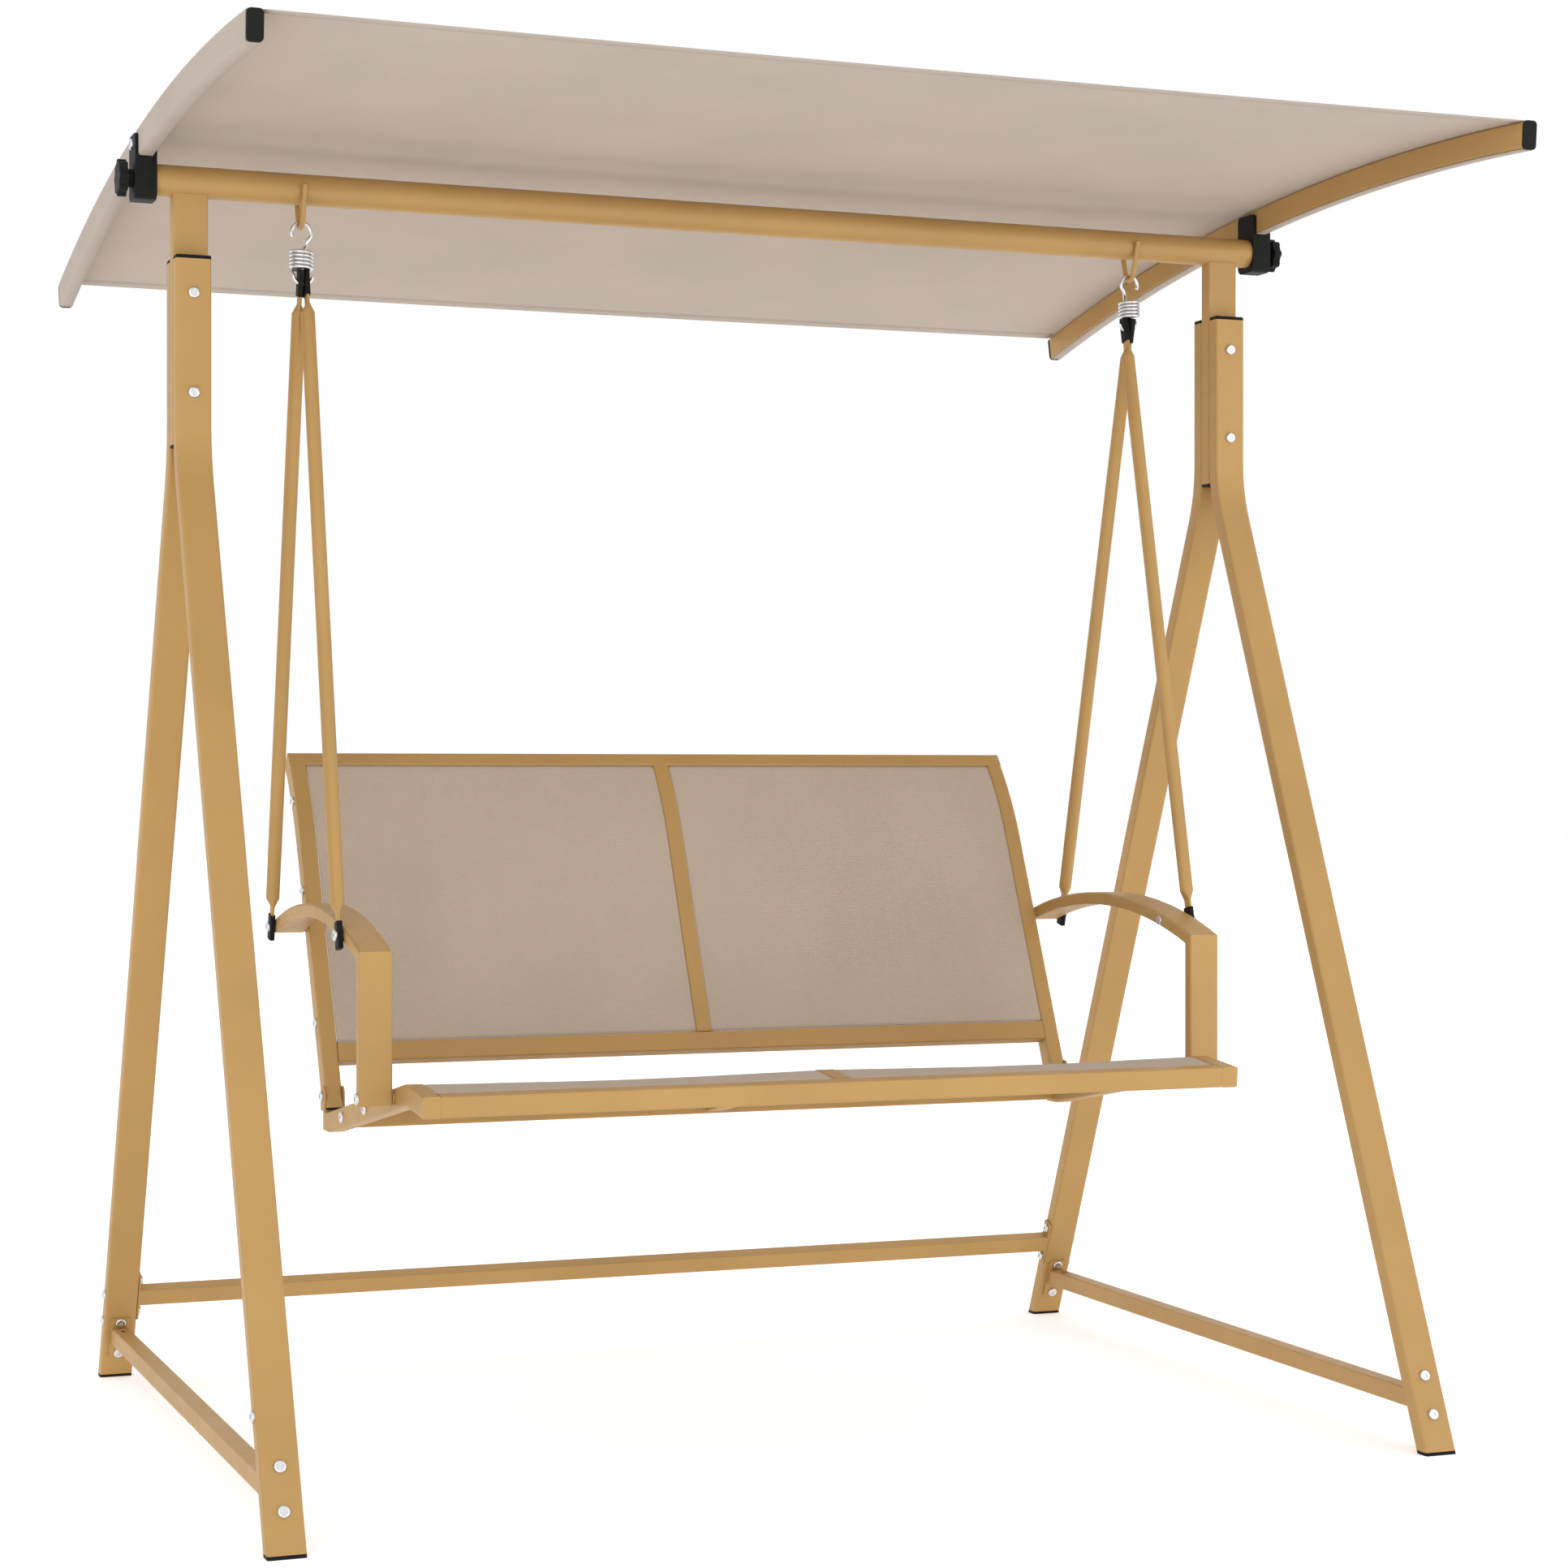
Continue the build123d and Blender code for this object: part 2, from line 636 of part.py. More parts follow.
def make_sleeves(pin, low_x, top_x):
    """Black plastic sleeve over each flat end."""
    low, top, along = hanger_frame(pin, low_x, top_x)
    sleeves = []
    for origin, sign, radius in ((low, 1, bolt_hole_radius), (top, -1, hanger_hole_radius)):
        start = hanger_plane(origin + along * (-sign * sleeve_length / 2), along)
        body = extrude(start * RectangleRounded(sleeve_thickness, sleeve_width, 2.4), sign * sleeve_length)
        pocket = hanger_plane(origin + along * (-sign * (11.0 + gap)), along)
        body -= extrude(pocket * RectangleRounded(flat_thickness + 0.3, flat_width + 0.3, 1.9),
                        sign * (sleeve_length + 20))
        body -= hole(origin, (1, 0, 0), 30, radius)
        sleeves.append(body)
    return sleeves


# ================================================================ armrests
def arm_height(y, radius):
    return arm_arc_z + math.sqrt(radius ** 2 - (y - arm_arc_y) ** 2)


def arm_profile(inset):
    """Side outline of the armrest: arch, mitred front corner and upright."""
    top = arm_arc_radius - inset
    low = arm_arc_radius - arm_thickness + inset
    front = arm_front_y + inset
    back_of_post = arm_front_y + arm_thickness - inset
    rear = arm_rear_y + (2.0 if inset else 0.0)
    foot = arm_foot_z - (2.0 if inset else 0.0)
    tilt = math.tan(math.radians(16.0))
    rear_low = rear - arm_thickness * tilt * 0.5
    upper = ThreePointArc((front, arm_height(front, top)), (arm_arc_y, arm_height(arm_arc_y, top)),
                          (rear, arm_height(rear, top)))
    lower = ThreePointArc((rear_low, arm_height(rear_low, low)), (arm_arc_y, arm_height(arm_arc_y, low)),
                          (back_of_post, arm_height(back_of_post, low)))
    lines = [
        upper,
        Line(upper @ 1, lower @ 0),
        lower,
        Line(lower @ 1, (back_of_post, foot)),
        Line((back_of_post, foot), (front, foot)),
        Line((front, foot), upper @ 0),
    ]
    return make_face(Curve() + lines)


def make_armrest():
    middle_x = -(arm_inner_x + arm_outer_x) / 2
    half = (arm_outer_x - arm_inner_x) / 2
    body = side_plane(middle_x) * extrude(arm_profile(0), half, both=True)
    body = fillet(body.edges().filter_by(Axis.X, reverse=True).filter_by(
        lambda e: e.length > 100), 2.5)
    body -= side_plane(middle_x) * extrude(arm_profile(wall), half - wall, both=True)
    for y, z in (front_pin, rear_pin, (arm_front_y + arm_thickness / 2, arm_foot_bolt_z)):
        body -= hole((middle_x, y, z), (1, 0, 0), 80)
    return body


def make_spacers():
    """Washers that stand the armrests off the seat and back rails."""
    spacers = []
    thickness = arm_inner_x - rail_outer_x - 2 * gap
    for side in (-1, 1):
        for y, z in ((arm_front_y + arm_thickness / 2, arm_foot_bolt_z), rear_pin):
            ring = Cylinder(8.0, thickness) - Cylinder(bolt_hole_radius, thickness + 2)
            middle = side * (rail_outer_x + arm_inner_x) / 2
            spacers.append(Pos(middle, y, z) * Rot(0, 90, 0) * ring)
    return spacers


# ================================================================ seat
seat_slope = math.atan2(seat_crest[1] - seat_dip[1], seat_dip[0] - seat_crest[0])
nose_slope = math.atan2(seat_crest[1] - seat_front_top_z, seat_crest[0] - seat_front_y)


def nose_point(drop, back):
    """Point a set depth below the seat's nose and a set distance back from its front end."""
    y = seat_front_y + drop * math.sin(nose_slope) + back * math.cos(nose_slope)
    z = seat_front_top_z - drop * math.cos(nose_slope) + back * math.sin(nose_slope)
    return (y, z)


def seat_path(x, drop, rear_y, front_cut):
    """Path along the seat from back to front, a set depth below its top line."""
    crest_lean = (seat_slope - nose_slope) / 2
    crest_drop = drop / math.cos((seat_slope + nose_slope) / 2)
    crest = (seat_crest[0] - crest_drop * math.sin(crest_lean),
             seat_crest[1] - crest_drop * math.cos(crest_lean))
    dip_drop = drop / math.cos(seat_slope / 2)
    dip = (seat_dip[0] - dip_drop * math.sin(seat_slope / 2), seat_dip[1] - dip_drop * math.cos(seat_slope / 2))
    points = [crest, nose_point(drop, front_cut)]
    if rear_y > seat_dip[0] + 10:
        points = [(rear_y, dip[1]), dip] + points
    else:
        points = [(rear_y, dip[1] - (rear_y - dip[0]) * math.tan(seat_slope))] + points
    return side_plane(x) * FilletPolyline(*points, radius=seat_bend_radius)


def seat_rail_middle(y):
    """Height of the side rail's middle line on its long straight run."""
    below = rail_depth / 2 / math.cos(seat_slope)
    return seat_dip[1] - below + (seat_dip[0] - y) * math.tan(seat_slope)


seat_bolt_depths = (0.0, -124.0)


def make_seat_side_rail():
    """Side rail with a plate closing its front end."""
    x = -(rail_outer_x - rail_width / 2)
    body = swept_tube(seat_path(x, rail_depth / 2, seat_rear_y, 0), rail_width, rail_depth, 2.5, rail_wall)
    end = nose_point(rail_depth / 2, 0)
    plane = Plane(origin=(x, end[0], end[1]), x_dir=(1, 0, 0),
                  z_dir=(0, math.cos(nose_slope), math.sin(nose_slope)))
    body += plane * extrude(RectangleRounded(rail_width, rail_depth, 2.5), rail_wall)
    for y in seat_bolt_depths:
        body -= hole((x - rail_width / 2, y, seat_rail_middle(y)), (1, 0, 0), 12)
    body -= hole((x, arm_front_y + arm_thickness / 2, arm_foot_bolt_z), (1, 0, 0), 60)
    return body


def cross_rail(plane, depth, height):
    """Rectangular rail between the side rails; local y is depth and local z is height."""
    half = rail_inner_x - gap
    outer = plane * Box(2 * half, depth, height)
    outer = fillet(outer.edges().filter_by(Axis.X), 2.5)
    return outer - plane * Box(2 * half + 2, depth - 2 * rail_wall, height - 2 * rail_wall)


def make_front_rail():
    """Front rail, tilted with the nose of the seat so that its top is flush with the side rails."""
    middle = nose_point(rail_depth / 2, front_rail_depth / 2)
    plane = Plane(origin=(0, middle[0], middle[1]), x_dir=(1, 0, 0),
                  z_dir=(0, -math.sin(nose_slope), math.cos(nose_slope)))
    return cross_rail(plane, front_rail_depth, front_rail_height - 0.2)


rear_rail_front_y = seat_rear_y - rail_width - 2


def make_rear_rail():
    return cross_rail(Plane.XY.offset(seat_dip[1] - 0.2 - rear_rail_height / 2)
                      * Pos(0, rear_rail_front_y + rail_width / 2, 0), rail_width, rear_rail_height)


def make_seat_centre_bar():
    """Middle bar between the two cross rails, level with the side rails."""
    path = seat_path(0, seat_centre_depth / 2, rear_rail_front_y + 10, front_rail_depth + gap)
    bar = swept_tube(path, rail_width, seat_centre_depth, 2.5, rail_wall)
    return bar - Pos(0, rear_rail_front_y - gap + 100, 400) * Box(400, 200, 200)


def make_seat_sling():
    half_gap = rail_width / 2
    width = rail_inner_x - half_gap - 2 * soft_play
    x = -(rail_inner_x + half_gap) / 2
    path = seat_path(x, sling_drop + sling_thickness / 2, rear_rail_front_y - 0.5, front_rail_depth + 0.3)
    plane = Plane(origin=path @ 0, x_dir=(1, 0, 0), z_dir=path % 0)
    return sweep(plane * Rectangle(width, sling_thickness), path=path)


# ================================================================ back
def back_run(x, inset, start, end):
    """Path parallel to the front face of the back, inset behind it, from start to end along it."""
    lean = back_lean
    along = unit(lean)
    behind = (along[1], -along[0])
    origin = point_from(back_foot, behind, inset)
    straight = (back_bend_z - back_foot[1]) / along[1]
    first = point_from(origin, along, start)
    bend = point_from(origin, along, straight)
    centre = point_from(back_foot, behind, back_bend_radius)
    centre = point_from(centre, along, straight)
    arc_radius = back_bend_radius - inset
    sweep_end = math.degrees((end - straight) / back_bend_radius)

    def on_arc(angle):
        a = math.radians(lean + angle)
        return (centre[0] - arc_radius * math.cos(a), centre[1] + arc_radius * math.sin(a))

    line = Line(first, bend)
    arc = ThreePointArc(bend, on_arc(sweep_end / 2), on_arc(sweep_end))
    return side_plane(x) * (Curve() + [line, arc])


back_straight = (back_bend_z - back_foot[1]) / math.cos(math.radians(back_lean))
back_length = back_straight + math.radians(back_top_sweep) * back_bend_radius


def back_point(along_distance, inset):
    """Point and lean angle on the back, measured along its front face and behind it."""
    if along_distance <= back_straight:
        along = unit(back_lean)
        behind = (along[1], -along[0])
        point = point_from(point_from(back_foot, along, along_distance), behind, inset)
        return point, back_lean
    extra = math.degrees((along_distance - back_straight) / back_bend_radius)
    along = unit(back_lean)
    behind = (along[1], -along[0])
    centre = point_from(point_from(back_foot, along, back_straight), behind, back_bend_radius)
    a = math.radians(back_lean + extra)
    reach = back_bend_radius - inset
    return (centre[0] - reach * math.cos(a), centre[1] + reach * math.sin(a)), back_lean + extra


def back_plane(x, along_distance, inset):
    """Section plane across the back: local x across the swing, local z up along the back."""
    point, lean = back_point(along_distance, inset)
    along = unit(lean)
    return Plane(origin=(x, point[0], point[1]), x_dir=(1, 0, 0), z_dir=(0, along[0], along[1]))


def back_tube(x, inset, width, depth, radius, tube_wall, start, end):
    path = back_run(x, inset, start, end)
    plane = back_plane(x, start, inset)
    section = RectangleRounded(width, depth, radius)
    if tube_wall > 0:
        section -= RectangleRounded(width - 2 * tube_wall, depth - 2 * tube_wall, max(radius - tube_wall, 0.5))
    return sweep(plane * section, path=path)


back_bolt_heights = (825.5, 704.8, 531.0)


def back_middle_at(z):
    """Depth of the side rail's middle line at a height on the back."""
    low, high = 0.0, back_length
    for _ in range(40):
        middle = (low + high) / 2
        if back_point(middle, rail_depth / 2)[0][1] < z:
            low = middle
        else:
            high = middle
    return back_point(low, rail_depth / 2)[0][0]


def make_back_side_rail():
    x = -(rail_outer_x - rail_width / 2)
    body = back_tube(x, rail_depth / 2, rail_width, rail_depth, 2.5, rail_wall, -30.0, back_length)
    body -= Pos(0, 0, back_foot[1] - 100) * Box(3000, 3000, 200)
    for z in back_bolt_heights:
        body -= hole((x - rail_width / 2, back_middle_at(z), z), (1, 0, 0), 12)
    body -= hole((x, rear_pin[0], rear_pin[1]), (1, 0, 0), 60)
    body -= hole((x, hinge_bolt[0], hinge_bolt[1]), (1, 0, 0), 60)
    return body


def make_back_rail_plug():
    """Plastic plug in the level lower end of a back rail."""
    x = -(rail_outer_x - rail_width / 2)
    sole = back_tube(x, rail_depth / 2, rail_width, rail_depth, 2.5, 0, -30.0, 60.0)
    sole = sole & (Pos(0, 0, back_foot[1] - gap - 1.2) * Box(3000, 3000, 2.4))
    inner = back_tube(x, rail_depth / 2, rail_width - 2 * rail_wall - 0.6, rail_depth - 2 * rail_wall - 0.6,
                      1.2, 0, -30.0, 60.0)
    inner = inner & (Pos(0, 0, back_foot[1] + 3.5) * Box(3000, 3000, 7.6))
    return sole + inner


def make_back_bottom_rail():
    """Lower rail of the back, its front face level with the side rails."""
    plane = back_plane(0, bottom_rail_start + bottom_rail_height / 2, back_cross_depth / 2 + 0.1)
    return cross_rail(plane, back_cross_depth, bottom_rail_height)


def make_back_top_rail():
    """Top rail laid across the ends of the side rails and the centre bar."""
    plane = back_plane(0, back_length, rail_depth / 2) * Pos(0, 0, gap + top_rail_height / 2)
    outer = plane * Box(2 * rail_outer_x, rail_depth, top_rail_height)
    outer = fillet(outer.edges().filter_by(Axis.X), 3.0)
    inner = plane * Box(2 * rail_outer_x - 2 * rail_wall, rail_depth - 2 * rail_wall,
                        top_rail_height - 2 * rail_wall)
    return outer - inner


def make_back_centre_bar():
    start = bottom_rail_start + bottom_rail_height + gap
    return back_tube(0, rail_depth / 2, rail_width, rail_depth, 2.5, rail_wall, start, back_length)


def make_back_sling():
    half_gap = rail_width / 2
    width = rail_inner_x - half_gap - 2 * soft_play
    x = -(rail_inner_x + half_gap) / 2
    start = bottom_rail_start + bottom_rail_height + 0.3
    inset = sling_drop + sling_thickness / 2
    path = back_run(x, inset, start, back_length - 0.3)
    plane = back_plane(x, start, inset)
    return sweep(plane * Rectangle(width, sling_thickness), path=path)


def make_hinge_bracket():
    """U-shaped bracket on the seat rail's rear end that holds the foot of the back rail."""
    top = hinge_bolt[1] + 13.0
    floor_z = seat_dip[1] + gap
    y_low, y_high = hinge_bolt[0] - 13.0, hinge_bolt[0] + 8.5
    outer_x = rail_outer_x + gap + hinge_plate
    inner_x = rail_inner_x - gap - hinge_plate
    middle_x = -(outer_x + inner_x) / 2
    body = Pos(middle_x, (y_low + y_high) / 2, (floor_z + top) / 2) * Box(
        outer_x - inner_x, y_high - y_low, top - floor_z)
    body = fillet(body.edges().filter_by(Axis.X).group_by(Axis.Z)[-1], 9.0)
    body -= Pos(middle_x, 0, floor_z + 2.0 + 50) * Box(rail_width + 2 * gap, 600, 100)
    body -= hole((middle_x, hinge_bolt[0], hinge_bolt[1]), (1, 0, 0), 60)
    return body


# ================================================================ seat fasteners
def make_hinge_bolts():
    length = rail_width + 2 * (gap + hinge_plate) + 0.2
    bolts = []
    for side in (-1, 1):
        head = (side * (rail_outer_x + gap + hinge_plate + 0.1), hinge_bolt[0], hinge_bolt[1])
        bolts.append(bolt(head, (-side, 0, 0), length + 0.4))
    return bolts


def make_rail_bolts():
    """Short bolts in the outer faces of the seat and back rails."""
    bolts = []
    spots = [(y, seat_rail_middle(y)) for y in seat_bolt_depths]
    spots += [(back_middle_at(z), z) for z in back_bolt_heights]
    for side in (-1, 1):
        for y, z in spots:
            bolts.append(bolt((side * (rail_outer_x + 0.1), y, z), (-side, 0, 0), 16))
    return bolts


def make_arm_foot_bolts():
    bolts = []
    length = arm_outer_x - rail_inner_x + 0.2
    for side in (-1, 1):
        head = (side * (arm_outer_x + 0.1), arm_front_y + arm_thickness / 2, arm_foot_bolt_z)
        bolts.append(bolt(head, (-side, 0, 0), length + 7, nut_at=length))
    return bolts


hanger_bolt_head_x = hanger_low_x + sleeve_thickness / 2 + 0.2


def make_front_hanger_bolts():
    """Bolts through the front hangers and the armrests, each with a low round nut on the inside."""
    length = hanger_bolt_head_x - arm_inner_x + 0.1
    low_nut = Cylinder(low_nut_radius, low_nut_height, align=(Align.CENTER, Align.CENTER, Align.MIN))
    low_nut = fillet(low_nut.edges().sort_by(Axis.Z)[-1], 1.2)
    for turn in (45, 135):
        low_nut -= Pos(0, 0, low_nut_height) * Rot(0, 0, turn) * Box(recess_length, recess_width, recess_depth)
    bolts = []
    for side in (-1, 1):
        head = (side * hanger_bolt_head_x, front_pin[0], front_pin[1])
        nut = Plane(origin=(side * (arm_inner_x - 0.1), *front_pin), z_dir=(-side, 0, 0)) * low_nut
        bolts.append(bolt(head, (-side, 0, 0), length) + nut)
    return bolts


def make_rear_hanger_bolts():
    """Bolts through the rear hangers and the back's side rails, with a nut on the inside."""
    length = hanger_bolt_head_x - rail_inner_x + 0.1
    return [bolt((side * hanger_bolt_head_x, rear_pin[0], rear_pin[1]), (-side, 0, 0), length + 7, nut_at=length)
            for side in (-1, 1)]


# ================================================================ assembly
parts = {}


def add(name, *shapes):
    parts[name] = Compound(children=[s for s in shapes]) if len(shapes) > 1 else shapes[0]


def add_pair(stem, shape):
    """A part on the left and its mirror image on the right, as two nodes."""
    add("left_" + stem, shape)
    add("right_" + stem, mirrored(shape))


def both_sides(*shapes):
    return list(shapes) + [mirrored(s) for s in shapes]


# stand
add_pair("front_leg", make_leg(front_leg, post_bolt_heights, front_brace_points, [], outer_side_heights_front))
add_pair("rear_leg", make_leg(rear_leg, post_bolt_heights, rear_brace_points, crossbar_side_points,
                              outer_side_heights_rear))
add("leg_top_caps", *both_sides(make_top_cap(front_leg), make_top_cap(rear_leg)))
add("foot_caps", *both_sides(make_foot_cap(front_leg), make_foot_cap(rear_leg)))
add("top_beam", make_beam())
add_pair("post", make_post())
add("post_plugs", *both_sides(make_post_plug()))
add("hanger_loops", *both_sides(make_hanger_loop()))
add_pair("side_brace", make_side_brace())
add("rear_crossbar", make_crossbar())
add("post_bolts", *make_post_bolts())
add("brace_bolts", *make_brace_bolts())
add("leg_side_bolts", *make_leg_side_bolts())

# canopy
add_pair("canopy_bracket", make_bracket())
add_pair("canopy_bar", make_canopy_bar())
add("canopy_bar_plugs", *both_sides(make_bar_plug(canopy_front_angle, 1), make_bar_plug(canopy_rear_angle, -1)))
add("bracket_screws", *both_sides(make_bracket_screw()))
add("canopy_fabric", make_canopy_fabric())
add_pair("clamp_knob", make_knob())

# springs and hangers
add_pair("spring", make_spring())
add_pair("front_hanger", make_hanger(front_pin, hanger_low_x, hanger_front_top_x))
add_pair("rear_hanger", make_hanger(rear_pin, hanger_low_x, hanger_rear_top_x))
add("hanger_sleeves", *both_sides(*make_sleeves(front_pin, hanger_low_x, hanger_front_top_x),
                                  *make_sleeves(rear_pin, hanger_low_x, hanger_rear_top_x)))
add("front_hanger_bolts", *make_front_hanger_bolts())
add("rear_hanger_bolts", *make_rear_hanger_bolts())

# armrests
add_pair("armrest", make_armrest())
add("armrest_spacers", *make_spacers())
add("arm_foot_bolts", *make_arm_foot_bolts())

# seat
add_pair("seat_side_rail", make_seat_side_rail())
add("seat_front_rail", make_front_rail())
add("seat_rear_rail", make_rear_rail())
add("seat_centre_bar", make_seat_centre_bar())
add_pair("seat_sling", make_seat_sling())

# back
add_pair("back_side_rail", make_back_side_rail())
add("back_top_rail", make_back_top_rail())
add("back_bottom_rail", make_back_bottom_rail())
add("back_centre_bar", make_back_centre_bar())
add_pair("back_sling", make_back_sling())
add("back_rail_plugs", *both_sides(make_back_rail_plug()))
add("back_hinge_brackets", *both_sides(make_hinge_bracket()))
add("back_hinge_bolts", *make_hinge_bolts())

add("rail_bolts", *make_rail_bolts())

# ================================================================ write the parts
os.makedirs("parts", exist_ok=True)
for name, shape in parts.items():
    export_step(Pos(0, frame_shift_y, 0) * shape, "parts/" + name + ".step")
print(len(parts), "parts written")
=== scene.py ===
"""Looks of the two-seat canopy swing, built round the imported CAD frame. All lengths are metres."""
import math

import bpy
from mathutils import Euler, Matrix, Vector, noise


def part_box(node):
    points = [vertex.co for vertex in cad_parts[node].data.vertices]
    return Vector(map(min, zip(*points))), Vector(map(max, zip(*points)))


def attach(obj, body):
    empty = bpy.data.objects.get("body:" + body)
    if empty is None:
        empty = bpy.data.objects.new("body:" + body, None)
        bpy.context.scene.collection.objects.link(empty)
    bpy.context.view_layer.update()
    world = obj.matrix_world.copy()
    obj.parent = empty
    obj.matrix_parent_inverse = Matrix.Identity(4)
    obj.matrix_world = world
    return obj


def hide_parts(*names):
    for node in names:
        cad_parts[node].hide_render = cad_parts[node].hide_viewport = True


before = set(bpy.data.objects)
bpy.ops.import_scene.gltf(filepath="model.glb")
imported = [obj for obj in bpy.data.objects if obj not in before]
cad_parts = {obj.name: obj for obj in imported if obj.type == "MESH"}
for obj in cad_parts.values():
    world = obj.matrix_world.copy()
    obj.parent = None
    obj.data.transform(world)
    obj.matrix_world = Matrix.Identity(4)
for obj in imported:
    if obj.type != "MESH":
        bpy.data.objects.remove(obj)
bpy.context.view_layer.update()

shift_y = 0.014238           # the CAD model's shift of its footprint's centre onto the origin


# ================================================================ node helpers
def linear(red, green, blue):
    """Linear colour of an 8-bit display colour."""
    def one(value):
        value /= 255
        return value / 12.92 if value <= 0.04045 else ((value + 0.055) / 1.055) ** 2.4
    return (one(red), one(green), one(blue), 1.0)


def scaled(colour, factor):
    """The same colour, lighter or darker by a factor."""
    return tuple(min(channel * factor, 1.0) for channel in colour[:3]) + (1.0,)


class Shader:
    """One material's node tree, with short calls for the nodes used here."""

    def __init__(self, name):
        self.material = bpy.data.materials.new(name)
        self.material.use_nodes = True
        self.nodes = self.material.node_tree.nodes
        self.links = self.material.node_tree.links
        self.surface = self.nodes["Principled BSDF"]
        self.output = self.nodes["Material Output"]

    def put(self, socket, value):
        """Link an output to a socket, or set the socket's own value."""
        if hasattr(value, "is_output"):
            self.links.new(value, socket)
        else:
            socket.default_value = value

    def node(self, kind, **inputs):
        made = self.nodes.new(kind)
        for key, value in inputs.items():
            self.put(made.inputs[key.replace("_", " ")], value)
        return made

    def math(self, operation, a, b=0.0, c=0.0):
        made = self.nodes.new("ShaderNodeMath")
        made.operation = operation
        for index, value in enumerate((a, b, c)):
            self.put(made.inputs[index], value)
        return made.outputs[0]

    def place(self, kind="Object"):
        return self.nodes.new("ShaderNodeTexCoord").outputs[kind]

    def noise(self, where, scale, detail=2.0, roughness=0.5):
        made = self.node("ShaderNodeTexNoise", Vector=where, Scale=scale, Detail=detail,
                         Roughness=roughness)
        return made.outputs["Fac"]

    def spread(self, value, low, high, to_low=0.0, to_high=1.0):
        """Map low..high onto to_low..to_high, held at both ends."""
        made = self.nodes.new("ShaderNodeMapRange")
        for index, item in enumerate((value, low, high, to_low, to_high)):
            self.put(made.inputs[index], item)
        return made.outputs[0]

    def mix(self, factor, first, second):
        made = self.nodes.new("ShaderNodeMix")
        made.data_type = "RGBA"
        self.put(made.inputs["Factor"], factor)
        self.put(made.inputs["A"], first)
        self.put(made.inputs["B"], second)
        return made.outputs["Result"]

    def bump(self, height, distance, strength):
        made = self.node("ShaderNodeBump", Height=height, Distance=distance, Strength=strength)
        return made.outputs[0]

    def edges(self, radius):
        """1 near an outside or inside edge, 0 on open faces."""
        bevel = self.node("ShaderNodeBevel", Radius=radius)
        bevel.samples = 4
        flat = self.nodes.new("ShaderNodeNewGeometry").outputs["Normal"]
        dot = self.nodes.new("ShaderNodeVectorMath")
        dot.operation = "DOT_PRODUCT"
        self.links.new(bevel.outputs[0], dot.inputs[0])
        self.links.new(flat, dot.inputs[1])
        return self.spread(dot.outputs["Value"], 0.995, 0.86)

    def finish(self, **inputs):
        """Set the Principled shader's sockets, and give the material."""
        for key, value in inputs.items():
            self.put(self.surface.inputs[key.replace("_", " ")], value)
        return self.material


# ================================================================ materials
def powder_coat(name, colour):
    """Satin metallic-gold powder coat: fine orange peel, faint clouding, and edges made lighter by a
    patchy painted highlight.
    """
    s = Shader(name)
    where = s.place()
    cloud = s.noise(where, scale=5.5, detail=3.0)
    fleck = s.noise(where, scale=2600.0, detail=1.0)
    base = s.mix(s.spread(cloud, 0.35, 0.65), scaled(colour, 0.955), scaled(colour, 1.045))
    base = s.mix(s.spread(fleck, 0.42, 0.62, 0.0, 0.16), base, scaled(colour, 1.35))
    # the edges are painted lighter in patches: a painted highlight
    highlight_patches = s.spread(s.noise(where, scale=60.0, detail=4.0), 0.40, 0.62, 0.05, 0.32)
    gold_edge_highlight = s.math("MULTIPLY", s.edges(radius=0.0011), highlight_patches)
    base = s.mix(gold_edge_highlight, base, scaled(colour, 1.20))
    peel = s.noise(where, scale=620.0, detail=2.0, roughness=0.45)
    grit = s.noise(where, scale=3400.0, detail=1.0)
    relief = s.math("MULTIPLY_ADD", grit, 0.25, peel)
    rough = s.spread(s.noise(where, scale=38.0, detail=3.0), 0.3, 0.7, 0.42, 0.52)
    return s.finish(Base_Color=base, Metallic=0.12, Roughness=rough, Specular_IOR_Level=0.32,
                    Normal=s.bump(relief, distance=0.00011, strength=0.55))


def moulded_plastic(name, colour):
    """Black injection-moulded plastic with a fine spark texture, and edges greyed by a patchy painted
    highlight.
    """
    s = Shader(name)
    where = s.place()
    cloud = s.noise(where, scale=22.0, detail=3.0)
    base = s.mix(s.spread(cloud, 0.3, 0.7), scaled(colour, 0.85), scaled(colour, 1.2))
    # the edges are painted grey in patches: a painted highlight
    highlight_patches = s.spread(s.noise(where, scale=140.0, detail=3.0), 0.4, 0.65, 0.15, 0.6)
    plastic_edge_highlight = s.math("MULTIPLY", s.edges(radius=0.0009), highlight_patches)
    base = s.mix(plastic_edge_highlight, base, scaled(colour, 2.6))
    grain = s.noise(where, scale=1900.0, detail=3.0, roughness=0.6)
    rough = s.spread(s.noise(where, scale=300.0, detail=2.0), 0.3, 0.7, 0.52, 0.66)
    return s.finish(Base_Color=base, Roughness=rough, Specular_IOR_Level=0.14,
                    Normal=s.bump(grain, distance=0.00012, strength=0.6))


def zinc_plate(name, colour):
    """Bright zinc plate: mottled, with fine marks, and edges made lighter by a painted highlight."""
    s = Shader(name)
    where = s.place()
    mottle = s.noise(where, scale=420.0, detail=4.0, roughness=0.6)
    base = s.mix(s.spread(mottle, 0.32, 0.68), scaled(colour, 0.86), scaled(colour, 1.08))
    # the edges are painted lighter: a painted highlight
    base = s.mix(s.math("MULTIPLY", s.edges(radius=0.0006), 0.5), base, scaled(colour, 1.2))
    marks = s.noise(where, scale=2200.0, detail=2.0)
    rough = s.spread(mottle, 0.3, 0.7, 0.24, 0.40)
    return s.finish(Base_Color=base, Metallic=1.0, Roughness=rough,
                    Normal=s.bump(marks, distance=0.00005, strength=0.5))


